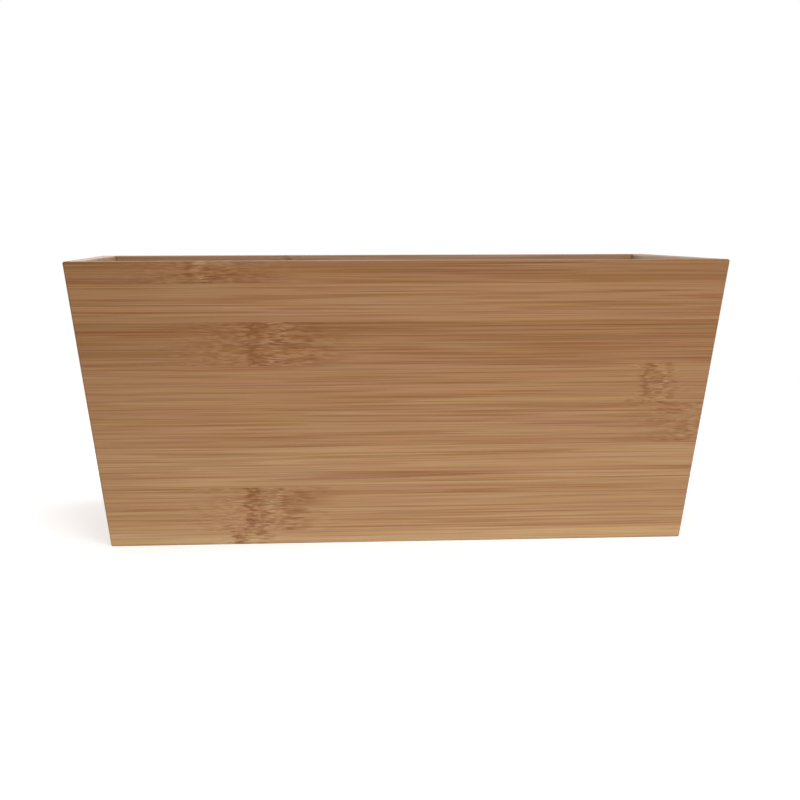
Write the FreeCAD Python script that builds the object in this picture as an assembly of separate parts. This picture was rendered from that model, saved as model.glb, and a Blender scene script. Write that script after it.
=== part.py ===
"""Splayed bamboo storage box, open at the top.

The four walls lean out alike, so their mitres stand on upright planes at 45 degrees. A hidden spline, which is
a loose tongue, locks each mitre. The floor board lies in a groove that runs round all four walls. Every board
is glued up from bamboo strips laid edge to edge, and each strip is a solid of its own.

Millimetres, +Z up. The origin is the middle of the base, on the surface that the box stands on. X runs along
the box, and the front wall faces -Y.
"""

import FreeCAD
import Part
import math
import os

# Outside of the box
TOP_WIDTH = 330.0  # rim, along X
TOP_DEPTH = 190.0  # rim, along Y
HEIGHT = 144.0  # standing surface to rim
LEAN_OUT = 19.0  # how far the rim stands out past the base, on every side

# Wall boards
WALL = 9.0  # thickness, square to the faces
EDGE_EASE = 1.0  # sanded rounding of the rim, the base and the outside corners

# Floor board and its groove
FLOOR = 5.0  # thickness
FLOOR_RISE = 5.0  # standing surface to the underside of the floor
GROOVE_DEPTH = 4.0  # into the wall, measured level at the lower lip
GROOVE_PLAY = 0.2  # between the floor and the upper lip
FLOOR_END_PLAY = 0.4  # left at each edge of the floor, for the board to swell into

# Hidden splines in the mitres
SPLINE = 2.0  # thickness
SPLINE_REACH = 4.0  # into the wall on each side of the mitre
SPLINE_PLAY = 0.1  # glue gap round the spline
SPLINE_BELOW_RIM = 14.0  # upper end to the rim, upright
SPLINE_ABOVE_FLOOR = 4.0  # lower end to the upper lip of the floor groove, upright
SPLINE_PLACE_SHARE = 0.68  # place across the mitre, from the outside corner to the inside one

# Strip widths in each board as shares of a full strip: down from the rim, and from front to back in the floor.
# A wall is cut from a wider board, so its first and last strips are ripped down.
STRIP_SHARES = {
    "front": (0.53, 0.92, 1.05, 0.98, 0.98, 1.02, 1.08, 0.34),
    "right": (0.93, 1.00, 0.99, 1.02, 0.98, 1.01, 0.97),
    "back": (0.36, 1.00, 0.97, 1.03, 1.00, 0.98, 1.02, 0.54),
    "left": (0.64, 1.00, 1.02, 0.98, 1.00, 1.03, 0.97, 0.26),
    "floor": (0.86, 1.00, 1.02, 0.98, 1.00, 1.03, 0.91),
}

# Walls in order of quarter turns about Z from the front
WALLS = ("front", "right", "back", "left")
CORNERS = ("front_left", "front_right", "back_right", "back_left")

OVERRUN = 10.0  # how far every cutting solid runs past what it cuts
NEAR = 0.001  # two places this close count as one

# Worked out from the sizes above
LEAN = LEAN_OUT / HEIGHT  # level run of a wall for each unit of height
LEAN_ANGLE = math.degrees(math.atan(LEAN))
SLANT = math.hypot(HEIGHT, LEAN_OUT)  # base to rim, up the face of a wall
WALL_RUN = WALL * SLANT / HEIGHT  # level thickness of a wall
GROOVE_TOP = FLOOR_RISE + FLOOR + GROOVE_PLAY

ORIGIN = FreeCAD.Vector(0, 0, 0)
X_AXIS = FreeCAD.Vector(1, 0, 0)
Z_AXIS = FreeCAD.Vector(0, 0, 1)
QUARTER_TURN = 90.0


def half_sizes(turns):
    """Half length along a wall's rim, and the distance from the middle of the box out to that rim."""
    sizes = (TOP_WIDTH / 2, TOP_DEPTH / 2)
    return sizes if turns % 2 == 0 else sizes[::-1]


def turned(shape, turns):
    """Copy of a shape, turned about Z by quarter turns."""
    copy = shape.copy()
    copy.rotate(ORIGIN, Z_AXIS, QUARTER_TURN * turns)
    return copy


def level_sizes(inset, z):
    """Half width and half depth at a level, inset from the outside of the walls."""
    run_in = inset + (HEIGHT - z) * LEAN
    return TOP_WIDTH / 2 - run_in, TOP_DEPTH / 2 - run_in


def hopper(inset, low, high):
    """Solid between two levels whose four sides follow the lean of the walls."""
    x_low, y_low = level_sizes(inset, low)
    x_high, y_high = level_sizes(inset, high)
    solid = Part.makeWedge(-x_low, low, -y_low, -y_high, -x_high, x_low, high, y_low, y_high, x_high)
    solid.rotate(ORIGIN, X_AXIS, QUARTER_TURN)
    return solid


def centred_box(half_width, half_depth, low, high):
    """Upright block on the Z axis between two levels."""
    corner = FreeCAD.Vector(-half_width, -half_depth, low)
    return Part.makeBox(2 * half_width, 2 * half_depth, high - low, corner)


def walls_in_one():
    """All four walls as one ring, sanded outside, with the groove for the floor."""
    outside = hopper(0, 0, HEIGHT)
    outside = outside.makeFillet(EDGE_EASE, outside.Edges)
    ring = outside.cut(hopper(WALL_RUN, -OVERRUN, HEIGHT + OVERRUN))
    x_lip, y_lip = level_sizes(WALL_RUN, FLOOR_RISE)
    groove = centred_box(x_lip + GROOVE_DEPTH, y_lip + GROOVE_DEPTH, FLOOR_RISE, GROOVE_TOP)
    return ring.cut(groove)


def spline(corner, play):
    """Tongue across a mitre at a corner, along the lean of that corner, or its slot where there is play."""
    x_side = 1 if "right" in corner else -1
    y_side = 1 if "back" in corner else -1
    low = GROOVE_TOP + SPLINE_ABOVE_FLOOR - play
    high = HEIGHT - SPLINE_BELOW_RIM + play
    x_foot, y_foot = level_sizes(WALL_RUN * SPLINE_PLACE_SHARE, low)
    foot = FreeCAD.Vector(x_side * x_foot, y_side * y_foot, low)
    along = FreeCAD.Vector(x_side * LEAN, y_side * LEAN, 1)
    length = (high - low) * along.Length
    half_reach = SPLINE_REACH + play
    half_thick = SPLINE / 2 + play
    tongue = Part.makeBox(
        2 * half_reach, 2 * half_thick, length, FreeCAD.Vector(-half_reach, -half_thick, 0)
    )
    across = FreeCAD.Vector(x_side, -y_side, 0)
    turn = FreeCAD.Rotation(across, along.cross(across), along, "ZXY")
    tongue.Placement = FreeCAD.Placement(foot, turn)
    return tongue


def mitre_wedge(turns):
    """Upright prism in the front wall's place that keeps one wall of the ring, cut at its two mitres."""
    half_length, out = half_sizes(turns)
    corners = (
        (0, half_length - out),
        (-half_length - OVERRUN, -out - OVERRUN),
        (half_length + OVERRUN, -out - OVERRUN),
    )
    points = [FreeCAD.Vector(x, y, -OVERRUN) for x, y in corners]
    plan = Part.Face(Part.makePolygon(points + points[:1]))
    return plan.extrude(Z_AXIS * (HEIGHT + 2 * OVERRUN))


def inner_edges(wall, turns):
    """Long edges of a wall in the front wall's place where its inner face meets the rim and the base."""
    out = half_sizes(turns)[1]
    found = []
    for edge in wall.Edges:
        middle = edge.CenterOfMass
        for z in (0, HEIGHT):
            y_inner = WALL_RUN + (HEIGHT - z) * LEAN - out
            if abs(middle.z - z) < NEAR and abs(middle.y - y_inner) < NEAR:
                found.append(edge)
    return found


def wall_board(ring, turns):
    """One wall, turned to the front wall's place, with its inner edges sanded and its spline slots cut."""
    slots = [spline(corner, SPLINE_PLAY) for corner in CORNERS]
    wall = turned(ring, -turns).common(mitre_wedge(turns)).Solids[0]
    wall = wall.makeFillet(EDGE_EASE, inner_edges(wall, turns))
    return wall.cut(turned(Part.makeCompound(slots), -turns))


def strip_bounds(shares, width):
    """Near and far side of each strip of a board, in order, so that they fill its width."""
    unit = width / sum(shares)
    sides = [unit * sum(shares[:count]) for count in range(len(shares) + 1)]
    sides[0] -= OVERRUN
    sides[-1] += OVERRUN
    return list(zip(sides[:-1], sides[1:]))


def wall_strips(ring, turns):
    """Strips of one wall, from the rim down, parted by glue lines square to its face."""
    half_length, out = half_sizes(turns)
    board = wall_board(ring, turns)
    strips = []
    for upper, lower in strip_bounds(STRIP_SHARES[WALLS[turns]], SLANT):
        slab = Part.makeBox(
            2 * (half_length + OVERRUN),
            WALL + 2 * OVERRUN,
            lower - upper,
            FreeCAD.Vector(-half_length - OVERRUN, -OVERRUN, -lower),
        )
        slab.rotate(ORIGIN, X_AXIS, LEAN_ANGLE)
        slab.translate(FreeCAD.Vector(0, -out, HEIGHT))
        strips.append(turned(board.common(slab), turns))
    return strips


def floor_strips():
    """Strips of the floor board, from front to back. The board lies on the lower lip of its groove."""
    x_lip, y_lip = level_sizes(WALL_RUN, FLOOR_RISE)
    half_width = x_lip + GROOVE_DEPTH - FLOOR_END_PLAY
    half_depth = y_lip + GROOVE_DEPTH - FLOOR_END_PLAY
    board = centred_box(half_width, half_depth, FLOOR_RISE, FLOOR_RISE + FLOOR)
    strips = []
    for near, far in strip_bounds(STRIP_SHARES["floor"], 2 * half_depth):
        slab = centred_box(half_width + OVERRUN, (far - near) / 2, 0, HEIGHT)
        slab.translate(FreeCAD.Vector(0, (near + far) / 2 - half_depth, 0))
        strips.append(board.common(slab))
    return strips


def main():
    """Build every piece and write each to its own file."""
    os.makedirs("parts", exist_ok=True)
    ring = walls_in_one()
    boards = {wall: wall_strips(ring, turns) for turns, wall in enumerate(WALLS)}
    boards["floor"] = floor_strips()
    pieces = {f"corner_spline_{corner}": spline(corner, 0) for corner in CORNERS}
    for board, strips in boards.items():
        for number, strip in enumerate(strips, start=1):
            pieces[f"{board}_strip_{number}"] = strip
    for name, shape in pieces.items():
        (solid,) = shape.Solids
        solid.exportStep(f"parts/{name}.step")


main()
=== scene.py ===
"""Looks of a splayed bamboo storage box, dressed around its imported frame.

Every strip of the boards keeps its solid from the frame, which already has the real shape and eased edges.
Each gets its own carbonised bamboo: fibres that run along the strip through its whole depth, a tone of its
own and, on many, a knuckle, the mark where the cane had a joint. The camera follows the photograph.
"""

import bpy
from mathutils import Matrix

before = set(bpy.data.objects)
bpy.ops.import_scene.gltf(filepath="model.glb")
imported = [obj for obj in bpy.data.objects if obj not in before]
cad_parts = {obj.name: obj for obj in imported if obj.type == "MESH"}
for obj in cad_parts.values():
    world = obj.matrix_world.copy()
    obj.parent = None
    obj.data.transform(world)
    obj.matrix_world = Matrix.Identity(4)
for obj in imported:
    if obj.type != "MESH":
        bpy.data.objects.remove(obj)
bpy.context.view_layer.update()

import logging
import math
import random
from dataclasses import dataclass, field
from enum import Enum
from typing import Any

import bpy
from mathutils import Matrix, Vector

log = logging.getLogger("storage_box")

MM = 0.001  # one millimetre in the scene's metres
QUARTER_TURN = math.pi / 2
SMOOTH = "SMOOTHSTEP"  # how a value eases from one level to another
SEED = 21  # start of every random draw
CANE_SPAN_MM = (200.0, 4000.0)  # places in the cane that the pieces are cut from


def linear(hex_colour: str) -> tuple[float, float, float, float]:
    """Turn an sRGB hex colour into the linear colour that shaders take.

    Args:
        hex_colour: Colour such as "#A87B53".

    Returns:
        Linear red, green, blue and an alpha of 1.
    """
    parts = [int(hex_colour[i : i + 2], 16) / 255 for i in (1, 3, 5)]
    return (*(c / 12.92 if c <= 0.04045 else ((c + 0.055) / 1.055) ** 2.4 for c in parts), 1.0)


def add_node(
    tree: bpy.types.NodeTree, kind: str, inputs: dict[Any, Any], **settings: Any
) -> bpy.types.Node:
    """Add one node to a tree, with its settings and links.

    Args:
        tree: Node tree of a material or the world.
        kind: Blender's name for the kind of node.
        inputs: Name or number of an input, to a socket, a node (its first output) or a plain value.
        settings: Attributes of the node to set.

    Returns:
        The new node.
    """
    node = tree.nodes.new(kind)
    for name, value in settings.items():
        setattr(node, name, value)
    for key, value in inputs.items():
        source = value.outputs[0] if isinstance(value, bpy.types.Node) else value
        if isinstance(source, bpy.types.NodeSocket):
            tree.links.new(source, node.inputs[key])
        else:
            node.inputs[key].default_value = source
    return node


class Side(Enum):
    """Which way a wall faces, as quarter turns about the vertical from the front, and the floor."""

    FRONT = 0
    RIGHT = 1
    BACK = 2
    LEFT = 3
    FLOOR = 4


class Corner(Enum):
    """A corner of the box, by the side of the middle on which it lies along X and along Y."""

    FRONT_LEFT = (-1, -1)
    FRONT_RIGHT = (1, -1)
    BACK_RIGHT = (1, 1)
    BACK_LEFT = (-1, 1)


@dataclass(frozen=True)
class BoxSizes:
    """Driving sizes of the box in millimetres, as its solids have them."""

    top_width_mm: float = 330.0
    top_depth_mm: float = 190.0
    height_mm: float = 144.0
    lean_out_mm: float = 19.0
    floor_top_mm: float = 10.0

    @property
    def lean(self) -> float:
        """Angle of the walls from upright, in radians."""
        return math.atan2(self.lean_out_mm, self.height_mm)

    @property
    def mitre_mm(self) -> float:
        """How much further out along X than along Y the mitres are, at every height."""
        return (self.top_width_mm - self.top_depth_mm) / 2

    def half_length_mm(self, side: Side) -> float:
        """Half the length of a board along its fibres."""
        return self.top_depth_mm / 2 if side in (Side.LEFT, Side.RIGHT) else self.top_width_mm / 2

    def out_mm(self, side: Side) -> float:
        """Distance from the middle of the box out to a wall's rim."""
        return self.top_width_mm / 2 if side in (Side.LEFT, Side.RIGHT) else self.top_depth_mm / 2


class Growth(Enum):
    """Which way the cane of a strip grew, as the sign of that way along the fibres."""

    RIGHTWARDS = 1
    LEFTWARDS = -1


@dataclass(frozen=True)
class Knuckle:
    """Mark across a strip where the cane had a joint.

    In the order that the cane grew, it has frayed fibres, a dark ragged edge, a core of short dashes, and
    dark patches that trail off among more frayed fibres. The core reaches half_mm either way, and the other
    lengths start from its ends. Bright is how strong the dashes are, and dark the edge and the patches.
    The dark edge reaches into the core, to edge_share of half_mm from its middle.
    """

    at_mm: float
    half_mm: float
    fray_before_mm: float
    fray_after_mm: float
    trail_mm: float
    bright: float = 1.0
    dark: float = 1.0
    growth: Growth = Growth.RIGHTWARDS
    edge_share: float = -0.1


@dataclass(frozen=True)
class StripLook:
    """What sets one strip apart: its lightness from 0 to 1, its knuckle and how it pales downwards."""

    lightness: float
    knuckle: Knuckle | None = None
    paling: float = 0.0


@dataclass(frozen=True)
class Streaks:
    """Marks drawn out along the fibres: their length and width in millimetres, and what they give.

    Where their noise goes from start to end, what they give goes from before to after. Detail is how much
    finer noise roughens them.
    """

    run_mm: float
    width_mm: float
    start: float
    end: float
    before: float
    after: float
    detail: float = 0.0


@dataclass(frozen=True)
class CarbonisedBamboo:
    """Flat-pressed bamboo, steamed to a caramel brown, cut into strips and sanded.

    The eye sees long fibres: thin reddish dark vessels with tapering ends on a paler ground, some strips
    darker than others, short level dashes at the knuckles, and a satin sheen that turns pale only at a
    glancing angle. The thinnest real fibres, of 0.1 to 0.3 mm, are too fine to show from a metre away, so
    the thinnest marks here are about 0.5 mm wide, as coarse as they need to be.
    """

    name: str
    roughness_pale: float
    roughness_dark: float
    ior: float
    sheen_level: float
    tones: tuple[str, ...] = ("#714110", "#83562A", "#986F47", "#AC885D", "#BFA277")
    roughness_span: tuple[float, float] = (0.1, 0.9)  # lightness that has the dark and the pale roughness
    relief_mm: float = 0.08
    relief_strength: float = 0.35
    # each Streaks has, in order: length, width, start and end of its noise, what it gives before and after
    # steps in lightness over the plain fibres
    bands: Streaks = Streaks(240.0, 4.5, 0.2, 0.8, -0.045, 0.045, 1.0)
    fibres: Streaks = Streaks(60.0, 0.45, 0.2, 0.8, -0.075, 0.075, 1.0)
    vessels: Streaks = Streaks(100.0, 0.95, 0.55, 0.63, 0.015, -0.105)
    hairs: Streaks = Streaks(65.0, 0.6, 0.56, 0.64, 0.015, -0.085)
    seams: Streaks = Streaks(200.0, 1.2, 0.64, 0.71, 0.01, -0.115)
    # steps in lightness at a knuckle
    frays: Streaks = Streaks(5.0, 0.65, 0.28, 0.72, -0.24, 0.16, 1.0)
    fray_level: float = 0.75
    patches: Streaks = Streaks(13.0, 1.9, 0.42, 0.6, 0.02, -0.18, 1.0)
    edges: Streaks = Streaks(3.5, 1.8, 0.3, 0.65, 0.0, -0.28, 1.0)
    dashes: Streaks = Streaks(6.0, 0.55, 0.4, 0.62, -0.28, 0.23, 1.0)
    clumps: Streaks = Streaks(6.0, 3.5, 0.35, 0.6, 0.3, 1.0)
    # how soft a core's ends are, how far its dark edge leads it, and the share of its half length at which
    # the dashes are full
    core_soft_mm: float = 1.2
    edge_lead_mm: float = 3.6
    dashes_full: float = 0.3
    # glue lines along a strip's upper side and at its mitres, the mitre ones with painted shade of the
    # inner corners, and how their darkness comes and goes
    glue_mm: float = 0.7
    glue: Streaks = Streaks(90.0, 40.0, 0.3, 0.65, -0.02, -0.14)
    mitre_glue_and_shade_mm: float = 0.35
    mitre_glue_and_shade: Streaks = Streaks(90.0, 9.0, 0.3, 0.65, -0.08, -0.34)
    # sanding closes the mitres outside, so their lines start at this depth and are full at the second,
    # darkest inside as painted shade of the corners
    mitre_shut_mm: float = 1.0
    mitre_open_mm: float = 4.0
    # in millimetres: drift of the fibres sideways, their stir by a knuckle, and how ragged its parts are
    drift: Streaks = Streaks(210.0, 22.0, 0.2, 0.8, -0.25, 0.25, 1.0)
    stir: Streaks = Streaks(9.0, 3.0, 0.2, 0.8, -0.45, 0.45, 1.0)
    ragged_near: Streaks = Streaks(24.0, 1.3, 0.2, 0.8, -2.4, 2.4, 1.0)
    ragged_far: Streaks = Streaks(40.0, 1.5, 0.2, 0.8, -12.0, 12.0, 1.0)
    # hue of the fibres, where 0.5 is unchanged, and their depth of colour, where 1 is
    tints: Streaks = Streaks(75.0, 1.4, 0.2, 0.8, 0.4945, 0.5055)
    depths: Streaks = Streaks(60.0, 1.8, 0.2, 0.8, 0.972, 1.028)


LACQUERED_BAMBOO = CarbonisedBamboo(
    "lacquered_bamboo", roughness_pale=0.40, roughness_dark=0.56, ior=1.5, sheen_level=0.42
)
# planed and left bare for the glue, so it is dull, with next to no sheen
PLANED_BAMBOO = CarbonisedBamboo(
    "planed_bamboo", roughness_pale=0.66, roughness_dark=0.78, ior=1.5, sheen_level=0.25
)


@dataclass(frozen=True)
class BambooPiece:
    """One piece of bamboo: its node, its look, its own frame in millimetres and its own draw of fibres.

    Its frame runs along the fibres, into the board from the outer face, and up across the board.
    """

    node: str
    look: StripLook
    placing: Matrix
    seed: Vector
    glued_above: bool = False
    # how much further out along X than along Y its mitres are, if it ends in any
    mitre_mm: float | None = None

    def reach_mm(self) -> tuple[float, float]:
        """Lowest and highest place of the piece across its fibres."""
        heights = [(self.placing @ vertex.co).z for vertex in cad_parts[self.node].data.vertices]
        return min(heights), max(heights)


@dataclass
class BambooShader:
    """Builds the material of one piece of bamboo from its finish."""

    finish: CarbonisedBamboo
    piece: BambooPiece
    tree: bpy.types.NodeTree = field(init=False)
    seeded: bpy.types.Node = field(init=False)
    fibres: bpy.types.Node = field(init=False)

    def material(self) -> bpy.types.Material:
        """Build the piece's material.

        Returns:
            Material whose fibres follow the piece through its whole depth.
        """
        made = bpy.data.materials.new(f"{self.finish.name}_{self.piece.node}")
        made.use_nodes = True
        self.tree = made.node_tree
        self.tree.nodes.clear()
        place = self._place()
        axes = add_node(self.tree, "ShaderNodeSeparateXYZ", {0: place})
        self.seeded = add_node(
            self.tree, "ShaderNodeVectorMath", {0: place, 1: self.piece.seed}, operation="ADD"
        )
        knuckle = self.piece.look.knuckle
        zones = self._zones(knuckle, axes.outputs["X"]) if knuckle else []
        self.fibres = self._drifting(zones)
        ground = self._ground(axes.outputs["Z"])
        lightness = self._grain(ground)
        if zones:
            lightness = self._marked(ground, lightness, zones)
        if self.piece.glued_above:
            lightness = self._glued(lightness, axes.outputs["Z"])
        if self.piece.mitre_mm is not None:
            lightness = self._add_mitre_lines_and_shade(lightness, axes.outputs["Y"], self.piece.mitre_mm)
        self._surface(self._colour(lightness), lightness)
        return made

    def _place(self) -> bpy.types.Node:
        """Add the place on the piece.

        Returns:
            The node with the place in the piece's own frame, in millimetres.
        """
        coordinates = add_node(self.tree, "ShaderNodeTexCoord", {})
        location, rotation, scale = self.piece.placing.decompose()
        inputs = {
            "Vector": coordinates.outputs["Object"],
            "Location": location,
            "Rotation": rotation.to_euler("XYZ"),
            "Scale": scale,
        }
        return add_node(self.tree, "ShaderNodeMapping", inputs)

    def _streaks(self, marks: Streaks, place: bpy.types.Node) -> bpy.types.Node:
        """Add a family of marks along the fibres.

        Args:
            marks: Their sizes and what they give.
            place: Place in millimetres that they follow.

        Returns:
            The node with what they give.
        """
        shrink = (1 / marks.run_mm, 1 / marks.width_mm, 1 / marks.width_mm)
        squeezed = add_node(self.tree, "ShaderNodeVectorMath", {0: place, 1: shrink}, operation="MULTIPLY")
        noise = add_node(
            self.tree, "ShaderNodeTexNoise", {"Vector": squeezed, "Scale": 1.0, "Detail": marks.detail}
        )
        inputs = {
            "Value": noise,
            "From Min": marks.start,
            "From Max": marks.end,
            "To Min": marks.before,
            "To Max": marks.after,
        }
        return add_node(self.tree, "ShaderNodeMapRange", inputs, interpolation_type=SMOOTH)

    def _zones(self, knuckle: Knuckle, along: bpy.types.NodeSocket) -> list[bpy.types.Node]:
        """Add where the parts of a knuckle are.

        Args:
            knuckle: The piece's knuckle.
            along: Place along the fibres, in millimetres.

        Returns:
            Nodes above 0 over the frayed fibres, the trailing patches, the dark edge and the core.
        """
        finish, half, way = self.finish, knuckle.half_mm, knuckle.growth.value
        soft, lead = finish.core_soft_mm, finish.edge_lead_mm
        inputs = {0: along, 1: way, 2: -way * knuckle.at_mm}
        offset = add_node(self.tree, "ShaderNodeMath", inputs, operation="MULTIPLY_ADD")
        jags = [self._streaks(marks, self.seeded) for marks in (finish.ragged_near, finish.ragged_far)]
        near, far = (
            add_node(self.tree, "ShaderNodeMath", {0: offset, 1: jag}, operation="ADD") for jag in jags
        )
        frayed_from, frayed_to = -half - knuckle.fray_before_mm, half + knuckle.fray_after_mm
        spans = (
            (far, frayed_from, -half, half, frayed_to, finish.fray_level),
            (near, half - soft, half + soft, half + soft, half + soft + knuckle.trail_mm, knuckle.dark),
            (near, -half - lead, -half - soft, -half, knuckle.edge_share * half, knuckle.dark),
            (near, -half - soft, finish.dashes_full * half, half - soft, half + soft, knuckle.bright),
        )
        zones = []
        for place, rise_from, rise_to, fall_from, fall_to, level in spans:
            up = {"Value": place, "From Min": rise_from, "From Max": rise_to, "To Max": level}
            rise = add_node(self.tree, "ShaderNodeMapRange", up, interpolation_type=SMOOTH)
            down = {"Value": place, "From Min": fall_to, "From Max": fall_from}
            fall = add_node(self.tree, "ShaderNodeMapRange", down, interpolation_type=SMOOTH)
            zones.append(add_node(self.tree, "ShaderNodeMath", {0: rise, 1: fall}, operation="MULTIPLY"))
        return zones

    def _drifting(self, zones: list[bpy.types.Node]) -> bpy.types.Node:
        """Add the place on the fibres, which drift along the piece and are stirred beside a knuckle.

        Args:
            zones: Where the parts of a knuckle are, the frayed fibres first, or nothing without one.

        Returns:
            The node with the place, in millimetres.
        """
        shift = self._streaks(self.finish.drift, self.seeded)
        if zones:
            stir = self._streaks(self.finish.stir, self.seeded)
            inputs = {0: stir, 1: zones[0], 2: shift}
            shift = add_node(self.tree, "ShaderNodeMath", inputs, operation="MULTIPLY_ADD")
        offset = add_node(self.tree, "ShaderNodeCombineXYZ", {"Z": shift})
        return add_node(self.tree, "ShaderNodeVectorMath", {0: self.seeded, 1: offset}, operation="ADD")

    def _ground(self, across: bpy.types.NodeSocket) -> bpy.types.Node:
        """Add the lightness of the piece before its marks.

        Args:
            across: Place across the piece, in millimetres.

        Returns:
            The node with the lightness.
        """
        low, high = self.piece.reach_mm()
        middle, paling = self.piece.look.lightness, self.piece.look.paling
        inputs = {
            "Value": across,
            "From Min": low,
            "From Max": high,
            "To Min": middle + paling,
            "To Max": middle - paling,
        }
        return add_node(self.tree, "ShaderNodeMapRange", inputs)

    def _grain(self, ground: bpy.types.Node) -> bpy.types.Node:
        """Add the plain fibres: soft bands and fibres, and thin dark lines.

        Args:
            ground: Lightness of the piece before its marks.

        Returns:
            Lightness with the fibres.
        """
        finish, total = self.finish, ground
        for marks in (finish.bands, finish.fibres, finish.vessels, finish.hairs, finish.seams):
            inputs = {0: total, 1: self._streaks(marks, self.fibres)}
            total = add_node(self.tree, "ShaderNodeMath", inputs, operation="ADD")
        return total

    def _marked(
        self, ground: bpy.types.Node, grain: bpy.types.Node, zones: list[bpy.types.Node]
    ) -> bpy.types.Node:
        """Add the marks of a knuckle.

        Args:
            ground: Lightness of the piece before its marks.
            grain: Lightness of its plain fibres.
            zones: Where the frayed fibres, the trailing patches, the dark edge and the core are.

        Returns:
            Lightness with the knuckle.
        """
        finish = self.finish
        frayed, trail, edge, core = zones
        frays = self._streaks(finish.frays, self.fibres)
        torn = add_node(self.tree, "ShaderNodeMath", {0: ground, 1: frays}, operation="ADD")
        inputs = {"Factor": frayed, "A": grain, "B": torn}
        total = add_node(self.tree, "ShaderNodeMix", inputs, data_type="FLOAT")
        clumps = self._streaks(finish.clumps, self.seeded)
        clumped = add_node(self.tree, "ShaderNodeMath", {0: core, 1: clumps}, operation="MULTIPLY")
        for marks, zone in ((finish.patches, trail), (finish.edges, edge), (finish.dashes, clumped)):
            step = {0: self._streaks(marks, self.fibres), 1: zone, 2: total}
            total = add_node(self.tree, "ShaderNodeMath", step, operation="MULTIPLY_ADD")
        return total

    def _glued(self, lightness: bpy.types.Node, across: bpy.types.NodeSocket) -> bpy.types.Node:
        """Add the glue line to the strip above, which is a dark thread that comes and goes.

        Args:
            lightness: Lightness of the piece without it.
            across: Place across the piece, in millimetres.

        Returns:
            Lightness with it.
        """
        top = self.piece.reach_mm()[1]
        upper_side = {"Value": across, "From Min": top - self.finish.glue_mm, "From Max": top}
        line = add_node(self.tree, "ShaderNodeMapRange", upper_side, interpolation_type=SMOOTH)
        inputs = {0: self._streaks(self.finish.glue, self.seeded), 1: line, 2: lightness}
        return add_node(self.tree, "ShaderNodeMath", inputs, operation="MULTIPLY_ADD")

    def _add_mitre_lines_and_shade(
        self, lightness: bpy.types.Node, depth: bpy.types.NodeSocket, mitre_mm: float
    ) -> bpy.types.Node:
        """Add the glue lines of the mitres, which stand upright across the corners of the box, deepened
        with painted shade of the inner corners.

        Args:
            lightness: Lightness of the piece without them.
            depth: Place into the board from its outer face, in millimetres.
            mitre_mm: How much further out along X than along Y the mitres are.

        Returns:
            Lightness with them.
        """
        coordinates = add_node(self.tree, "ShaderNodeTexCoord", {})
        out = add_node(
            self.tree, "ShaderNodeVectorMath", {0: coordinates.outputs["Object"]}, operation="ABSOLUTE"
        )
        axes = add_node(self.tree, "ShaderNodeSeparateXYZ", {0: out})
        further = add_node(
            self.tree, "ShaderNodeMath", {0: axes.outputs["X"], 1: axes.outputs["Y"]}, operation="SUBTRACT"
        )
        # this difference changes by the square root of 2 for each unit square to the mitre
        reach = self.finish.mitre_glue_and_shade_mm * MM * math.sqrt(2)
        inputs = {0: further, 1: mitre_mm * MM, 2: reach}
        near = add_node(self.tree, "ShaderNodeMath", inputs, operation="COMPARE")
        opening = {
            "Value": depth,
            "From Min": self.finish.mitre_shut_mm,
            "From Max": self.finish.mitre_open_mm,
            "To Max": near,
        }
        line = add_node(self.tree, "ShaderNodeMapRange", opening)
        # the mitre line: a dark glue line, together with painted shade where the walls meet inside
        inputs = {0: self._streaks(self.finish.mitre_glue_and_shade, self.seeded), 1: line, 2: lightness}
        return add_node(self.tree, "ShaderNodeMath", inputs, operation="MULTIPLY_ADD")

    def _colour(self, lightness: bpy.types.Node) -> bpy.types.Node:
        """Add the colour of the fibres: a tone by their lightness, some redder and some yellower.

        Args:
            lightness: Lightness of the piece with all its marks.

        Returns:
            The node with the colour.
        """
        ramp = add_node(self.tree, "ShaderNodeValToRGB", {"Fac": lightness})
        tones, elements = self.finish.tones, ramp.color_ramp.elements
        # a new ramp has two elements; the others start in its middle, and all get their places after that
        for _ in tones[len(elements) :]:
            elements.new(0.5)
        for number, (element, tone) in enumerate(zip(elements, tones)):
            element.position = number / (len(tones) - 1)
            element.color = linear(tone)
        hue = self._streaks(self.finish.tints, self.seeded)
        depth = self._streaks(self.finish.depths, self.seeded)
        inputs = {"Hue": hue, "Saturation": depth, "Color": ramp}
        return add_node(self.tree, "ShaderNodeHueSaturation", inputs)

    def _surface(self, colour: bpy.types.Node, lightness: bpy.types.Node) -> None:
        """Add the surface: smoother on the pale fibres, more open on the dark ones, with a trace of relief.

        Args:
            colour: Colour of the piece.
            lightness: Lightness of the piece with all its marks.
        """
        finish = self.finish
        dark_at, pale_at = finish.roughness_span
        inputs = {
            "Value": lightness,
            "From Min": dark_at,
            "From Max": pale_at,
            "To Min": finish.roughness_dark,
            "To Max": finish.roughness_pale,
        }
        roughness = add_node(self.tree, "ShaderNodeMapRange", inputs)
        inputs = {
            "Strength": finish.relief_strength,
            "Distance": finish.relief_mm * MM,
            "Height": lightness,
        }
        relief = add_node(self.tree, "ShaderNodeBump", inputs)
        inputs = {
            "Base Color": colour,
            "Roughness": roughness,
            "Normal": relief,
            "IOR": finish.ior,
            "Specular IOR Level": finish.sheen_level,
        }
        surface = add_node(self.tree, "ShaderNodeBsdfPrincipled", inputs)
        add_node(self.tree, "ShaderNodeOutputMaterial", {"Surface": surface})


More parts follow.
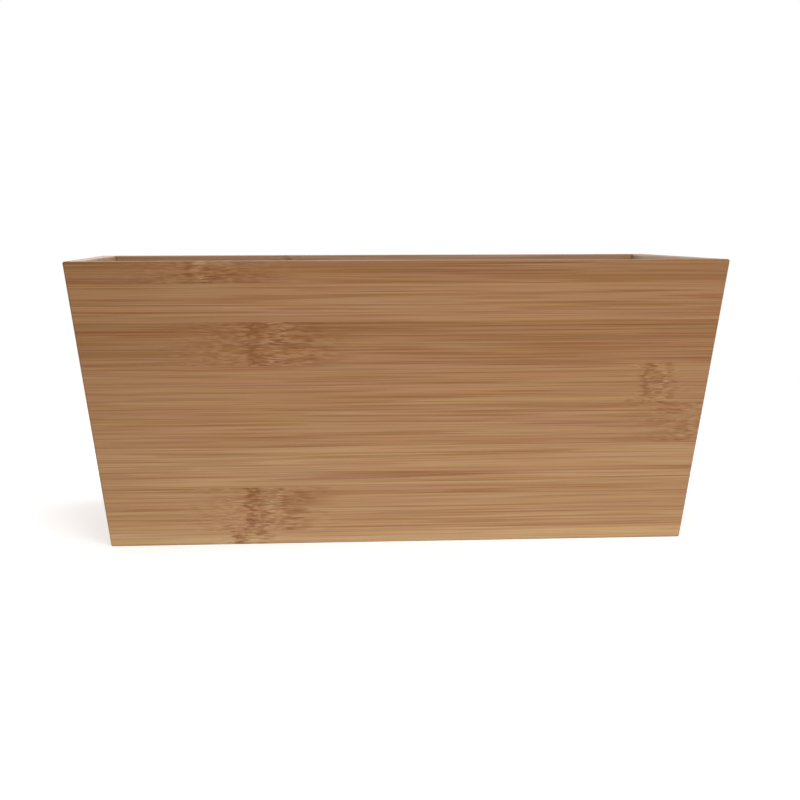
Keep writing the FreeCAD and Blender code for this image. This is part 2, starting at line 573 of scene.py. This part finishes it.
@dataclass
class BambooWork:
    """A sub-assembly of bamboo pieces, which keep their solids from the frame."""

    sizes: BoxSizes
    finish: CarbonisedBamboo
    slot: str
    draw: random.Random

    def pieces(self) -> list[BambooPiece]:
        """Find the pieces of the sub-assembly."""
        raise NotImplementedError

    def seed(self) -> Vector:
        """Draw the place in the cane that a piece is cut from, in millimetres."""
        return Vector([self.draw.uniform(*CANE_SPAN_MM) for _ in range(3)])

    def dress(self) -> None:
        """Give each piece its own draw of the finish, and report it."""
        for piece in self.pieces():
            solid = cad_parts[piece.node]
            solid.data.materials.clear()
            solid.data.materials.append(BambooShader(self.finish, piece).material())
            mark = "with" if piece.look.knuckle else "without"
            log.info("%s: %s, %s a knuckle", piece.node, self.finish.name, mark)


@dataclass
class Board(BambooWork):
    """One wall or the floor: strips glued edge to edge, with their fibres along the board."""

    side: Side
    looks: tuple[StripLook, ...]

    def placing(self) -> Matrix:
        """Find the board's own frame.

        Returns:
            Matrix from scene metres to millimetres along the fibres, into the board from its outer face,
            and up across its strips from the rim. On the floor these are along, down from the top and
            towards the back.
        """
        if self.side is Side.FLOOR:
            turn = Matrix.Rotation(QUARTER_TURN, 4, "X")
            edge = Vector((0, 0, self.sizes.floor_top_mm))
        else:
            spin = Matrix.Rotation(-self.side.value * QUARTER_TURN, 4, "Z")
            turn = Matrix.Rotation(-self.sizes.lean, 4, "X") @ spin
            edge = spin.inverted() @ Vector((0, -self.sizes.out_mm(self.side), self.sizes.height_mm))
        return turn @ Matrix.Translation(-edge) @ Matrix.Scale(1 / MM, 4)

    def pieces(self) -> list[BambooPiece]:
        """Find the board's strips.

        Returns:
            The strips, in the order of their numbers.
        """
        placing, board = self.placing(), self.side.name.lower()
        mitre_mm = None if self.side is Side.FLOOR else self.sizes.mitre_mm
        return [
            BambooPiece(f"{board}_strip_{number}", look, placing, self.seed(), number > 1, mitre_mm)
            for number, look in enumerate(self.looks, start=1)
        ]


@dataclass
class CornerSplines(BambooWork):
    """Loose tongues in the four mitres, fibres along the corners. Only a box taken apart shows them."""

    look: StripLook = StripLook(0.52)

    def placing(self, corner: Corner) -> Matrix:
        """Find the frame of one spline.

        Args:
            corner: Corner that the spline is in.

        Returns:
            Matrix from scene metres to millimetres along the corner, through the spline and across its
            mitre.
        """
        x_side, y_side = corner.value
        run = math.tan(self.sizes.lean)
        along = Vector((x_side * run, y_side * run, 1)).normalized()
        across = Vector((x_side, -y_side, 0)).normalized()
        return Matrix((along, across.cross(along), across)).to_4x4() @ Matrix.Scale(1 / MM, 4)

    def pieces(self) -> list[BambooPiece]:
        """Find the four splines."""
        return [
            BambooPiece(
                f"corner_spline_{corner.name.lower()}", self.look, self.placing(corner), self.seed()
            )
            for corner in Corner
        ]


def seen(tree: bpy.types.NodeTree) -> bpy.types.Node:
    """Add 1 where the camera sees a place, itself or in a reflection, and 0 where it only gives light.

    Args:
        tree: Node tree to add it to.

    Returns:
        The node with the 1 or 0.
    """
    path = add_node(tree, "ShaderNodeLightPath", {})
    found = path.outputs["Is Camera Ray"]
    for ray in ("Is Glossy Ray", "Is Transmission Ray"):
        found = add_node(tree, "ShaderNodeMath", {0: found, 1: path.outputs[ray]}, operation="MAXIMUM")
    return found


@dataclass(frozen=True)
class WhitePaper:
    """Matt white background paper. The eye sees a faint shadow on it, and it fades into the white air."""

    colour: str = "#F0F0F0"
    lift: float = 0.5  # how far it is lifted towards white where the camera sees it
    fade_from_mm: float = 270.0
    fade_to_mm: float = 900.0

    def material(self) -> bpy.types.Material:
        """Build the paper's material.

        Returns:
            Material that is lifted towards white and fades away from the middle.
        """
        paper = bpy.data.materials.new("white_paper")
        paper.use_nodes = True
        tree = paper.node_tree
        tree.nodes.clear()
        lift = add_node(tree, "ShaderNodeMath", {0: seen(tree), 1: self.lift}, operation="MULTIPLY")
        glow = add_node(tree, "ShaderNodeEmission", {"Strength": lift})
        matt = add_node(tree, "ShaderNodeBsdfDiffuse", {"Color": linear(self.colour)})
        table = add_node(tree, "ShaderNodeAddShader", {0: matt, 1: glow})
        coordinates = add_node(tree, "ShaderNodeTexCoord", {})
        away = add_node(
            tree, "ShaderNodeVectorMath", {0: coordinates.outputs["Object"]}, operation="LENGTH"
        )
        inputs = {
            "Value": away.outputs["Value"],
            "From Min": self.fade_from_mm * MM,
            "From Max": self.fade_to_mm * MM,
        }
        fade = add_node(tree, "ShaderNodeMapRange", inputs, interpolation_type=SMOOTH)
        air = add_node(tree, "ShaderNodeBsdfTransparent", {})
        both = add_node(tree, "ShaderNodeMixShader", {0: fade, 1: table, 2: air})
        add_node(tree, "ShaderNodeOutputMaterial", {"Surface": both})
        return paper


@dataclass(frozen=True)
class Softbox:
    """A soft lamp, which shows only by its light: its place, aim and size in metres, and its watts."""

    name: str
    place: tuple[float, float, float]
    aim: tuple[float, float, float]
    size: tuple[float, float]
    watts: float
    mirrored: bool = True  # whether it shows in the sheen of the box

    def build(self) -> None:
        """Add the lamp to the scene."""
        light = bpy.data.lights.new(self.name, "AREA")
        light.shape = "RECTANGLE"
        light.size, light.size_y = self.size
        light.energy = self.watts
        lamp = bpy.data.objects.new(self.name, light)
        lamp.location = self.place
        facing = Vector(self.aim) - Vector(self.place)
        lamp.rotation_euler = facing.to_track_quat("-Z", "Y").to_euler()
        lamp.visible_camera = False
        lamp.visible_glossy = self.mirrored
        bpy.context.scene.collection.objects.link(lamp)
        log.info("%s: %.1f W", self.name, self.watts)


BOX_MIDDLE = (0.0, 0.0, 0.07)  # what the lamps face, in metres


@dataclass
class Studio:
    """Camera, lamps, white floor and white air."""

    camera_mm: tuple[float, float, float] = (-65.541, -891.797, 158.245)
    heading_deg: float = -4.6317
    pitch_deg: float = -5.9518
    roll_deg: float = -0.1259
    lens_mm: float = 72.881
    floor_mm: float = 6000.0
    air_colour: str = "#FFFFFF"
    air_light: float = 0.26  # strength with which the air lights the box
    air_shown: float = 1.0  # strength with which it shows, where 1 is white
    paper: WhitePaper = WhitePaper()
    # the last one, just over the paper, is the glow of the white table on the sides and the back
    softboxes: tuple[Softbox, ...] = (
        Softbox("top_softbox", (0, 0.2, 1.0), BOX_MIDDLE, (0.9, 0.9), 5.4),
        Softbox("front_top_softbox", (0.07, -0.54, 0.29), BOX_MIDDLE, (0.3, 0.2), 1.47),
        Softbox("right_softbox", (1.15, -0.15, 0.4), BOX_MIDDLE, (0.7, 0.5), 3.0),
        Softbox("back_softbox", (-0.8, 1.6, 0.6), BOX_MIDDLE, (1.2, 0.8), 5.0),
        Softbox("table_glow", (0, 0.12, 0.00005), (0, 0.12, 1), (0.48, 0.62), 0.6, mirrored=False),
    )

    def camera(self) -> None:
        """Add the camera at the photograph's place."""
        lens = bpy.data.cameras.new("photo_camera")
        lens.lens = self.lens_mm
        camera = bpy.data.objects.new("photo_camera", lens)
        turn = (
            Matrix.Rotation(math.radians(self.heading_deg), 4, "Z")
            @ Matrix.Rotation(QUARTER_TURN + math.radians(self.pitch_deg), 4, "X")
            @ Matrix.Rotation(math.radians(self.roll_deg), 4, "Z")
        )
        camera.matrix_world = Matrix.Translation(Vector(self.camera_mm) * MM) @ turn
        bpy.context.scene.collection.objects.link(camera)
        bpy.context.scene.camera = camera

    def floor(self) -> None:
        """Add the white table that the box stands on."""
        half = self.floor_mm * MM / 2
        mesh = bpy.data.meshes.new("studio_floor")
        corners = [(-half, -half, 0), (half, -half, 0), (half, half, 0), (-half, half, 0)]
        mesh.from_pydata(corners, [], [(0, 1, 2, 3)])
        mesh.materials.append(self.paper.material())
        floor = bpy.data.objects.new("studio_floor", mesh)
        bpy.context.scene.collection.objects.link(floor)

    def air(self) -> None:
        """Add the white air, which shows as white and gives a low light from all round."""
        world = bpy.data.worlds.new("white_air")
        world.use_nodes = True
        tree = world.node_tree
        tree.nodes.clear()
        inputs = {"Value": seen(tree), "To Min": self.air_light, "To Max": self.air_shown}
        strength = add_node(tree, "ShaderNodeMapRange", inputs)
        inputs = {"Color": linear(self.air_colour), "Strength": strength}
        sky = add_node(tree, "ShaderNodeBackground", inputs)
        add_node(tree, "ShaderNodeOutputWorld", {"Surface": sky})
        bpy.context.scene.world = world

    def build(self) -> None:
        """Add everything round the object, and set how its light is shown."""
        self.camera()
        for softbox in self.softboxes:
            softbox.build()
        self.floor()
        self.air()
        bpy.context.scene.view_settings.view_transform = "Standard"
        log.info("studio: camera, %d lamps, floor and air", len(self.softboxes))


# Strips from the rim down, as far as the photograph shows them. A knuckle's numbers are its place, half its
# length, the reach of its frays before and after and of its trail, and how bright and how dark it is. The
# front strips' lightness is partly their own tone and partly painted light, lighter towards the bottom.
SEEN_LOOKS: dict[Side, tuple[StripLook, ...]] = {
    # lightness rises down the front wall: the strips' own tones with painted light added towards the bottom
    Side.FRONT: (
        StripLook(0.31, Knuckle(-100, 5.5, 50, 50, 46, 1.0, 0.5), -0.02),
        StripLook(0.43),
        StripLook(0.345, Knuckle(-66, 8.0, 58, 24, 42, 1.0), 0.05),
        StripLook(0.455, Knuckle(130, 5.0, 8, 4, 4, 1.0, 0.8, edge_share=0.5), 0.02),
        StripLook(0.475, Knuckle(155, 7.0, 10, 36, 40, 0.12, 0.7, Growth.LEFTWARDS)),
        StripLook(0.56, None, 0.02),
        StripLook(0.56, Knuckle(-68, 7.5, 42, 16, 36, 0.6, 1.2, edge_share=0.5), 0.04),
        StripLook(0.775, Knuckle(-77.5, 5.0, 14, 8, 10, 0.8, 1.9, edge_share=0.6), 0.03),
    ),
    Side.BACK: (StripLook(0.58, Knuckle(56, 3.0, 5, 5, 4, 0.3, 1.2)),),
}


@dataclass(frozen=True)
class CaneRange:
    """Ranges that the looks of strips are drawn from where the photograph doesn't show them."""

    lightness: tuple[float, float] = (0.38, 0.58)
    half_mm: tuple[float, float] = (5.0, 9.5)
    reach_mm: tuple[float, float] = (8.0, 45.0)  # of the frayed fibres and the trailing patches
    bright: tuple[float, float] = (0.3, 0.8)
    dark: float = 0.9
    place_share: float = 1.35  # of half the board's length: past 1 the strip has no knuckle

    def look(self, draw: random.Random, half_length_mm: float) -> StripLook:
        """Draw the look of one strip.

        Args:
            draw: Seeded source of numbers.
            half_length_mm: Half the length of the strip's board.

        Returns:
            The look.
        """
        lightness = draw.uniform(*self.lightness)
        place = draw.uniform(-self.place_share, self.place_share) * half_length_mm
        fray_before, fray_after, trail = (draw.uniform(*self.reach_mm) for _ in range(3))
        growth = draw.choice(list(Growth))
        half, bright = draw.uniform(*self.half_mm), draw.uniform(*self.bright)
        knuckle = Knuckle(place, half, fray_before, fray_after, trail, bright, self.dark, growth)
        return StripLook(lightness, knuckle if abs(place) < half_length_mm else None)


def main() -> None:
    """Dress the boards and splines in order, then add the studio."""
    logging.basicConfig(level=logging.INFO, format="%(name)s: %(message)s")
    draw, sizes, cane = random.Random(SEED), BoxSizes(), CaneRange()
    for side in Side:
        count = sum(node.startswith(f"{side.name.lower()}_strip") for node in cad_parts)
        drawn = tuple(cane.look(draw, sizes.half_length_mm(side)) for _ in range(count))
        shown = SEEN_LOOKS.get(side, ())
        looks = shown + drawn[len(shown) :]
        slot = "bamboo_floor" if side is Side.FLOOR else "bamboo_wall"
        Board(sizes, LACQUERED_BAMBOO, slot, draw, side, looks).dress()
    CornerSplines(sizes, PLANED_BAMBOO, "bamboo_spline", draw).dress()
    Studio().build()


if __name__ == "__main__":
    main()
